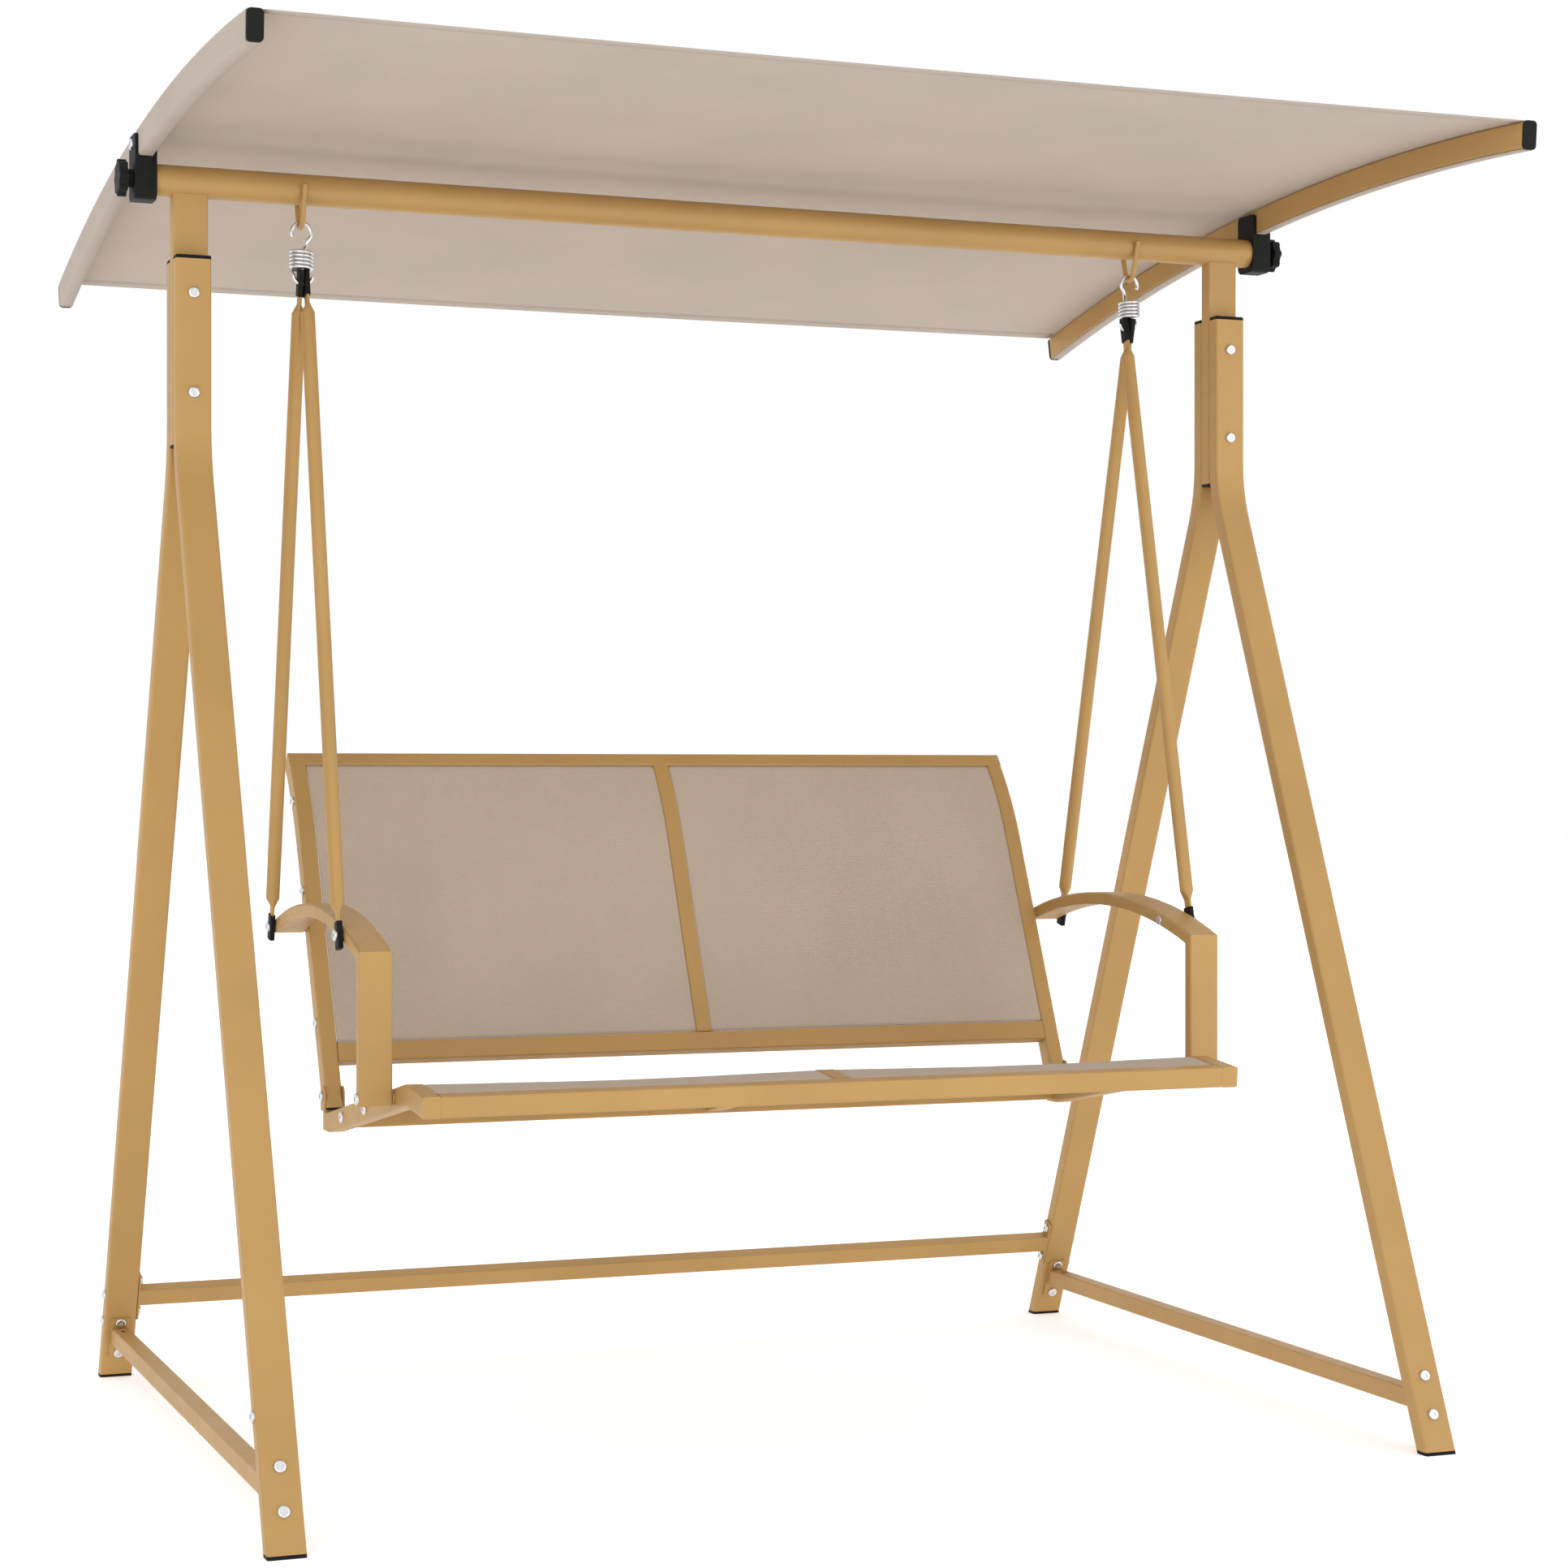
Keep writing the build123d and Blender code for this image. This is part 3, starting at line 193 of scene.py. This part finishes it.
def woven(name, colour, pitch, gap_shade, relief, see_through, rough, sheen):
    """Plain weave on a piece's own UV map, which is in metres: yarns pass over and under.

    pitch is a yarn's width, gap_shade the factor of the painted shade between the yarns, relief the
    height of the bump, and see_through the share of light that passes through the cloth.
    """
    s = Shader(name)
    split = s.node("ShaderNodeSeparateXYZ", Vector=s.place("UV"))
    across = s.math("DIVIDE", split.outputs["X"], pitch)
    along = s.math("DIVIDE", split.outputs["Y"], pitch)
    parity = s.math("ADD", s.math("FLOOR", across), s.math("FLOOR", along))
    over = s.math("PINGPONG", parity, 1.0)
    warp = s.math("SINE", s.math("MULTIPLY", s.math("FRACT", across), math.pi))
    weft = s.math("SINE", s.math("MULTIPLY", s.math("FRACT", along), math.pi))
    under_height = 0.62          # of the yarn that passes below, next to 1 for the one above
    warp = s.math("MULTIPLY", warp, s.spread(over, 0.0, 1.0, under_height, 1.0))
    weft = s.math("MULTIPLY", weft, s.spread(over, 0.0, 1.0, 1.0, under_height))
    height = s.math("MAXIMUM", warp, weft)
    cover = s.spread(height, 0.30, 0.72)
    where = s.place()

    # yarn colour: warp over weft, streaks along single yarns, slubs, and broad fading
    top_yarn = s.spread(s.math("SUBTRACT", warp, weft), -0.2, 0.2)
    yarn = s.mix(top_yarn, scaled(colour, 0.93), scaled(colour, 1.05))
    streak = s.node("ShaderNodeCombineXYZ", X=s.math("FLOOR", across), Y=s.math("MULTIPLY", along, 0.004))
    lines = s.noise(streak.outputs[0], scale=1.7, detail=2.0)
    yarn = s.mix(s.spread(lines, 0.3, 0.7, 0.0, 0.5), yarn, scaled(colour, 0.90))
    slub = s.node("ShaderNodeCombineXYZ", X=s.math("MULTIPLY", across, 0.16), Y=s.math("FLOOR", along))
    thick = s.spread(s.noise(slub.outputs[0], scale=1.0, detail=2.0, roughness=0.6), 0.35, 0.65)
    yarn = s.mix(s.math("MULTIPLY", thick, 0.6), yarn, scaled(colour, 0.86))
    fading = s.noise(where, scale=7.0, detail=3.0)
    yarn = s.mix(s.spread(fading, 0.3, 0.7, 0.0, 0.5), yarn, scaled(colour, 1.08))
    # between the yarns the colour drops to gap_shade: painted shade in the weave's gaps
    base = s.mix(cover, scaled(colour, gap_shade), yarn)

    fuzz = s.noise(where, scale=3000.0, detail=2.0)
    body = s.math("MULTIPLY_ADD", fuzz, 0.18, height)
    normal = s.bump(body, distance=relief, strength=0.8)
    s.finish(Base_Color=base, Roughness=rough, Specular_IOR_Level=0.16, Sheen_Weight=sheen,
             Sheen_Roughness=0.5, Normal=normal)
    back = s.node("ShaderNodeBsdfTranslucent", Color=base, Normal=normal)
    blend = s.nodes.new("ShaderNodeMixShader")
    blend.inputs[0].default_value = see_through
    s.links.new(s.surface.outputs[0], blend.inputs[1])
    s.links.new(back.outputs[0], blend.inputs[2])
    s.links.new(blend.outputs[0], s.output.inputs["Surface"])
    return s.material


def sewing_thread(name, colour):
    """Twisted thread of the hems' stitches, darker in the twist's grooves as painted shade."""
    s = Shader(name)
    where = s.place()
    twist = s.node("ShaderNodeTexWave", Vector=where, Scale=900.0, Distortion=1.5).outputs["Fac"]
    # the grooves of the twist are painted darker: painted shade
    base = s.mix(twist, scaled(colour, 0.8), scaled(colour, 1.1))
    return s.finish(Base_Color=base, Roughness=0.75, Sheen_Weight=0.3,
                    Normal=s.bump(twist, distance=0.0001, strength=0.6))


gold = powder_coat("gold_powder_coat", (0.430, 0.256, 0.086, 1.0))
black = moulded_plastic("black_moulded_plastic", (0.0075, 0.0077, 0.0072, 1.0))
zinc = zinc_plate("bright_zinc", (0.72, 0.73, 0.75, 1.0))
sling_cloth = woven("sling_weave", linear(203, 186, 169), pitch=0.0022, gap_shade=0.60, relief=0.00045,
                    see_through=0.10, rough=0.72, sheen=0.05)
canopy_cloth = woven("canopy_weave", linear(209, 195, 182), pitch=0.0012, gap_shade=0.78, relief=0.00022,
                     see_through=0.24, rough=0.85, sheen=0.10)
thread = sewing_thread("sewing_thread", linear(188, 172, 156))

zinc_words = ("bolt", "screw", "spring")
black_words = ("cap", "plug", "sleeve", "knob", "canopy_bracket")


def material_for(node):
    """A CAD node's material, by the words in its name."""
    if "sling" in node:
        return sling_cloth
    if "fabric" in node:
        return canopy_cloth
    if any(word in node for word in black_words):
        return black
    if any(word in node for word in zinc_words):
        return zinc
    return gold


for node_name, node_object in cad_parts.items():
    if not node_object.material_slots:
        node_object.data.materials.append(None)
    for material_slot in node_object.material_slots:
        material_slot.material = material_for(node_name)


# ================================================================ mesh helpers
def piece_from(name, verts, faces, uvs, material, body):
    """Mesh object with one UV per vertex, smooth shaded."""
    mesh = bpy.data.meshes.new(name)
    mesh.from_pydata(verts, [], faces)
    mesh.materials.append(material)
    layer = mesh.uv_layers.new(name="metres")
    for loop in mesh.loops:
        layer.data[loop.index].uv = uvs[loop.vertex_index]
    mesh.polygons.foreach_set("use_smooth", [True] * len(mesh.polygons))
    made = bpy.data.objects.new(name, mesh)
    bpy.context.scene.collection.objects.link(made)
    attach(made, body)
    return made


def grid_faces(rows, columns):
    """Quads of a grid whose vertices are listed row by row."""
    faces = []
    for row in range(rows - 1):
        for column in range(columns - 1):
            corner = row * columns + column
            faces.append((corner, corner + 1, corner + columns + 1, corner + columns))
    return faces


def thicken(piece, thickness):
    """Give a sheet its cloth thickness, half to each side."""
    solid = piece.modifiers.new("cloth", "SOLIDIFY")
    solid.thickness = thickness
    solid.offset = 0.0
    solid.use_even_offset = True


def rounded_line(points, radius, steps=14):
    """Polyline in a plane with every inner corner rounded, as 2-D points."""
    points = [Vector(point) for point in points]
    line = [points[0]]
    for before, corner, after in zip(points, points[1:], points[2:]):
        incoming = (corner - before).normalized()
        outgoing = (after - corner).normalized()
        turn = incoming.angle(outgoing)
        side = 1.0 if incoming.x * outgoing.y - incoming.y * outgoing.x > 0 else -1.0
        start = corner - incoming * radius * math.tan(turn / 2)
        centre = start + Vector((-incoming.y, incoming.x)) * side * radius
        spoke = start - centre
        for step in range(steps + 1):
            angle = side * turn * step / steps
            line.append(centre + Vector((spoke.x * math.cos(angle) - spoke.y * math.sin(angle),
                                         spoke.x * math.sin(angle) + spoke.y * math.cos(angle))))
    line.append(points[-1])
    return line


def even_line(line, spacing):
    """The same line with evenly spaced points, each with its distance and unit direction."""
    lengths = [0.0]
    for a, b in zip(line, line[1:]):
        lengths.append(lengths[-1] + (b - a).length)
    total = lengths[-1]
    count = max(2, round(total / spacing)) + 1
    placed = []
    segment = 0
    for index in range(count):
        distance = total * index / (count - 1)
        while segment < len(line) - 2 and lengths[segment + 1] < distance:
            segment += 1
        run = lengths[segment + 1] - lengths[segment]
        share = (distance - lengths[segment]) / run if run > 0 else 0.0
        placed.append((line[segment].lerp(line[segment + 1], share), distance))
    with_direction = []
    for index, (point, distance) in enumerate(placed):
        before = placed[max(index - 1, 0)][0]
        after = placed[min(index + 1, count - 1)][0]
        with_direction.append((point, distance, (after - before).normalized()))
    return with_direction


def ripple(x, y, scale, amount):
    """Faint unevenness of a stretched cloth: up to amount each way, scale waves per metre."""
    return noise.noise(Vector((x * scale, y * scale, 3.7))) * amount


# ================================================================ canopy
arc_y = -0.3452 + shift_y    # centre of the side bars' arc
arc_z = -2.9093
arc_radius = 4.5947          # to the top of the bars
front_angle = -4.22          # the bars' ends: degrees along the arc from straight up
rear_angle = 12.57
cloth_inset = 0.03           # degrees from a bar's end to the cloth's cut edge
bar_low, bar_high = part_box("right_canopy_bar")
bar_in, bar_out = bar_low.x, bar_high.x
bar_height = 0.034

cloth_gap = 0.0008           # bar face to the middle of the cloth
canopy_thickness = 0.0009
sleeve_corner_radius = 0.0034
sleeve_lap = 0.0002          # from a bar's inner face to the sleeve's edge under the bar
span_start = 0.020           # from a bar's inner face to where the open span's points begin
span_points = 96
canopy_rows = 161
sag_depth = 0.0065
sag_at_ends = 0.30           # share of the sag left at the front and rear edges

hem_width = 0.020
hem_thickness = 0.0007
hem_columns = 140
hem_profile = (              # from the hem's inner edge to the cut edge: (distance from it, height)
    (hem_width, -0.0003), (hem_width - 0.0006, -0.0007), (0.016, -0.0009), (0.008, -0.0009),
    (0.0018, -0.0010), (0.0007, -0.0010), (0.0001, -0.0007), (-0.0001, -0.0003))

stitch_from_edge = 0.0165    # the row's distance from the cut edge
stitch_pitch = 0.0034
stitch_length = 0.78         # of the pitch
stitch_radius = 0.00042
stitch_drop = 0.0014         # middle of the canopy cloth to the middle of the thread
stitch_rings = 5
stitch_sides = 6


def canopy_point(x, height, angle):
    """Point at a height above the top of the side bars, at an angle along the arc."""
    reach = arc_radius + height
    turn = math.radians(angle)
    return Vector((x, arc_y + reach * math.sin(turn), arc_z + reach * math.cos(turn)))


def canopy_sag(x, share):
    """How far the cloth hangs below the bars between them: least at the two hems."""
    across = max(0.0, 1.0 - (x / (bar_in - 0.004)) ** 2)
    along = sag_at_ends + (1.0 - sag_at_ends) * math.sin(math.pi * share) ** 0.8
    wave = ripple(x, share, 9.0, 0.0011) + ripple(x + 3.0, share * 2.2, 21.0, 0.0005)
    return -sag_depth * across * along + wave * min(1.0, across * 6.0) * math.sin(math.pi * share)


def canopy_section():
    """Cross-section from one sleeve's inner hem round both bars to the other's: (x, height, distance)."""
    floor = -bar_height - cloth_gap
    side = bar_out + cloth_gap
    start = bar_in - span_start
    half = rounded_line([(-bar_in - sleeve_lap, floor), (-side, floor), (-side, cloth_gap),
                         (-start, cloth_gap)], sleeve_corner_radius, steps=8)
    half = [(point.x, point.y) for point in half]
    span = [(-start + start * 2 * index / span_points, cloth_gap) for index in range(1, span_points)]
    line = half + span + [(-x, z) for x, z in reversed(half)]
    section = []
    distance = 0.0
    for index, (x, z) in enumerate(line):
        if index:
            distance += math.hypot(x - line[index - 1][0], z - line[index - 1][1])
        section.append((x, z, distance))
    return section


def make_canopy():
    """The whole cloth, sleeves and open span in one sheet."""
    section = canopy_section()
    arc_length = math.radians(rear_angle - front_angle) * arc_radius
    verts, uvs = [], []
    for row in range(canopy_rows):
        share = row / (canopy_rows - 1)
        angle = front_angle + cloth_inset + (rear_angle - front_angle - 2 * cloth_inset) * share
        for x, z, distance in section:
            on_top = abs(x) < bar_in - 0.001 and z > 0
            verts.append(canopy_point(x, z + (canopy_sag(x, share) if on_top else 0.0), angle))
            uvs.append((distance, share * arc_length))
    made = piece_from("canopy_sheet", verts, grid_faces(canopy_rows, len(section)), uvs, canopy_cloth,
                      "canopy")
    thicken(made, canopy_thickness)
    return made


def hem_angle(at_front, distance):
    """Angle on the arc at a distance in from the front or rear cut edge, and its share of the arc."""
    edge = front_angle + cloth_inset if at_front else rear_angle - cloth_inset
    inward = 1.0 if at_front else -1.0
    angle = edge + inward * math.degrees(distance / arc_radius)
    return angle, (angle - front_angle) / (rear_angle - front_angle)


def hem(name, at_front):
    """Folded hem: a strip under the sheet that turns round its cut edge."""
    reach = bar_in - 0.003
    verts, uvs = [], []
    for column in range(hem_columns + 1):
        x = -reach + 2 * reach * column / hem_columns
        for run, height in hem_profile:
            angle, share = hem_angle(at_front, run)
            pucker = 0.00006 * math.sin(x * 260.0) if run > 0.010 else 0.0
            sag = canopy_sag(x, min(max(share, 0.0), 1.0))
            verts.append(canopy_point(x, cloth_gap + sag + height + pucker, angle))
            uvs.append((x, run))
    made = piece_from(name, verts, grid_faces(hem_columns + 1, len(hem_profile)), uvs, canopy_cloth,
                      "canopy")
    thicken(made, hem_thickness)
    return made


def hem_stitches(name, at_front):
    """A row of short raised stitches on the underside of a hem."""
    angle, share = hem_angle(at_front, stitch_from_edge)
    down = Vector((0.0, -math.sin(math.radians(angle)), -math.cos(math.radians(angle))))
    along = Vector((1, 0, 0))
    side = along.cross(down).normalized()
    reach = bar_in - 0.006
    verts, faces, uvs = [], [], []
    for index in range(int(2 * reach / stitch_pitch)):
        x = -reach + (index + 0.5) * stitch_pitch
        middle = canopy_point(x, cloth_gap + canopy_sag(x, share) - stitch_drop, angle)
        base = len(verts)
        for ring in range(stitch_rings):
            step = ring / (stitch_rings - 1)
            arch = math.sin(math.pi * step)
            fat = stitch_radius * (0.45 + 0.55 * arch)
            dip = 0.00030 * arch - 0.00012
            centre = middle + along * (step - 0.5) * stitch_pitch * stitch_length + down * dip
            for turn in range(stitch_sides):
                spoke = math.tau * turn / stitch_sides
                verts.append(centre + side * math.cos(spoke) * fat + down * math.sin(spoke) * fat)
                uvs.append((step * 0.003, turn * 0.0004))
        for ring in range(stitch_rings - 1):
            for turn in range(stitch_sides):
                a = base + ring * stitch_sides + turn
                b = base + ring * stitch_sides + (turn + 1) % stitch_sides
                faces.append((a, b, b + stitch_sides, a + stitch_sides))
        last = base + (stitch_rings - 1) * stitch_sides
        faces.append(tuple(base + turn for turn in reversed(range(stitch_sides))))
        faces.append(tuple(last + turn for turn in range(stitch_sides)))
    return piece_from(name, verts, faces, uvs, thread, "canopy")


canopy = make_canopy()
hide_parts("canopy_fabric")
canopy_extras = [hem("canopy_front_hem", True), hem("canopy_rear_hem", False),
                 hem_stitches("canopy_front_stitches", True), hem_stitches("canopy_rear_stitches", False)]


# ================================================================ slings
sling_depth = 0.0014         # rail faces to the middle of the sling
sling_thickness = 0.0011
sling_spacing = 0.006        # of the points along a sling
seat_sag = 0.0040
back_sag = 0.0035
groove_allowance = 0.02      # of a sling's cut size, for what goes into the grooves
inner_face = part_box("right_seat_sling")[1].x
centre_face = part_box("right_seat_sling")[0].x

# shares of a sling's width where its points lie, closer at the rolled edges
sling_shares = ([0.0, 0.002, 0.005, 0.009] + [0.015 + 0.97 * i / 70 for i in range(71)]
                + [0.991, 0.995, 0.998, 1.0])

# top face of the seat's side rails, as the (y, z) corners of its runs from the rear to the front
seat_corners = [(0.085, 0.4184), (-0.325, 0.4926), (-0.4074, 0.4842)]
seat_bend_radius = 0.070
front_rail_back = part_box("seat_front_rail")[1].y
rear_rail_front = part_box("seat_rear_rail")[0].y

# front face of the back's side rails: a straight run from its foot, then a bend backwards
back_lean = math.radians(24.45)
back_foot = (0.088, 0.424)
back_sling_start = 0.0913    # along the straight run, from its foot
back_bend_height = 0.770
back_bend_radius = 0.450
back_bend_sweep = math.radians(16.2)
back_bend_steps = 24


def seat_line():
    """Top face of the seat's side rails between the front and rear rails."""
    line = rounded_line([(y + shift_y, z) for y, z in seat_corners], seat_bend_radius)
    low_y, high_y = front_rail_back + 0.0003, rear_rail_front - 0.0005
    inside = []
    for a, b in zip(line, line[1:]):
        steps = max(2, int((b - a).length / 0.002))
        for step in range(steps + 1):
            point = a.lerp(b, step / steps)
            if low_y <= point.x <= high_y and (not inside or (point - inside[-1]).length > 0.0005):
                inside.append(point)
    return inside


def back_line():
    """Front face of the back's side rails from the bottom rail to the top rail."""
    along = Vector((math.sin(back_lean), math.cos(back_lean)))
    foot = Vector((back_foot[0] + shift_y, back_foot[1]))
    bend = foot + along * (back_bend_height - back_foot[1]) / along.y
    centre = bend + Vector((along.y, -along.x)) * back_bend_radius
    line = [foot + along * back_sling_start, bend]
    for step in range(1, back_bend_steps + 1):
        angle = back_lean + back_bend_sweep * step / back_bend_steps
        line.append(centre + Vector((-math.cos(angle), math.sin(angle))) * back_bend_radius)
    return line


def sling(name, line, side, sag):
    """Stretched mesh panel between two rails, its edges rolled down into the rails' grooves."""
    stations = even_line(line, sling_spacing)
    length = stations[-1][1]
    width = inner_face - centre_face
    verts, uvs = [], []
    for point, distance, direction in stations:
        outward = Vector((-direction.y, direction.x))
        if outward.y < 0:
            outward = -outward
        end = min(distance, length - distance)
        ends = 1.0 - math.exp(-end / 0.045)
        for share in sling_shares:
            offset = share * width
            edge = min(offset, width - offset)
            roll = -0.0009 * (math.exp(-(edge / 0.0022) ** 2) + math.exp(-(end / 0.0026) ** 2))
            hang = -sag * (math.sin(math.pi * share) ** 1.3) * ends
            waves = ripple(offset + side, distance, 14.0, 0.0005) * min(1.0, edge / 0.04) * ends
            spot = point + outward * (-sling_depth + roll + hang + waves)
            verts.append(Vector((side * (centre_face + offset), spot.x, spot.y)))
            uvs.append((offset + (2.0 if side > 0 else 0.0), distance))
    faces = grid_faces(len(stations), len(sling_shares))
    made = piece_from(name, verts, faces, uvs, sling_cloth, "seat")
    thicken(made, sling_thickness)
    return made, (round(width + groove_allowance, 3), round(length + groove_allowance, 3))


seat_run = seat_line()
back_run = back_line()
for side, word in ((-1, "left"), (1, "right")):
    panel, cut_size = sling(word + "_seat_mesh", seat_run, side, seat_sag)
    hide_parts(word + "_seat_sling")
    panel, cut_size = sling(word + "_back_mesh", back_run, side, back_sag)
    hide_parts(word + "_back_sling")


# ================================================================ floor, light, camera
def studio_floor(reach):
    """Plain pale floor, reach metres to each side."""
    mesh = bpy.data.meshes.new("studio_floor")
    corners = [(-reach, -reach, 0), (reach, -reach, 0), (reach, reach, 0), (-reach, reach, 0)]
    mesh.from_pydata(corners, [], [(0, 1, 2, 3)])
    s = Shader("pale_floor")
    grain = s.noise(s.place(), scale=3.0, detail=2.0)
    base = s.mix(grain, (0.93, 0.93, 0.93, 1), (0.95, 0.95, 0.95, 1))
    s.finish(Base_Color=base, Roughness=0.9, Specular_IOR_Level=0.1,
             Emission_Color=(1.0, 1.0, 1.0, 1.0), Emission_Strength=0.30)
    mesh.materials.append(s.material)
    made = bpy.data.objects.new("studio_floor", mesh)
    bpy.context.scene.collection.objects.link(made)


def soft_light(name, place, target, size, power):
    """Round area light that faces a target."""
    data = bpy.data.lights.new(name, "AREA")
    data.shape = "DISK"
    data.size = size
    data.energy = power
    made = bpy.data.objects.new(name, data)
    made.location = place
    made.rotation_euler = (Vector(target) - Vector(place)).to_track_quat("-Z", "Y").to_euler()
    bpy.context.scene.collection.objects.link(made)


studio_floor(reach=30)
swing_middle = (0.0, 0.0, 0.9)
soft_light("key", (-2.8, -5.2, 1.9), swing_middle, size=4.0, power=50.0)
soft_light("fill", (3.6, -4.8, 1.5), swing_middle, size=4.0, power=50.0)

world = bpy.data.worlds.new("studio")
bpy.context.scene.world = world
world.use_nodes = True
background = world.node_tree.nodes["Background"]
background.inputs["Color"].default_value = (1.0, 1.0, 1.0, 1.0)
background.inputs["Strength"].default_value = 1.0

lens = bpy.data.cameras.new("camera")
lens.sensor_width = 36.0     # millimetres, as the focal length is
lens.lens = 72.71
camera = bpy.data.objects.new("camera", lens)
camera.location = (-1.4879, -4.0149 + shift_y, 0.8590)
camera.rotation_euler = Euler((math.radians(89.878), 0.0, math.radians(-21.203)))
bpy.context.scene.collection.objects.link(camera)
bpy.context.scene.camera = camera
bpy.context.scene.view_settings.view_transform = "Standard"
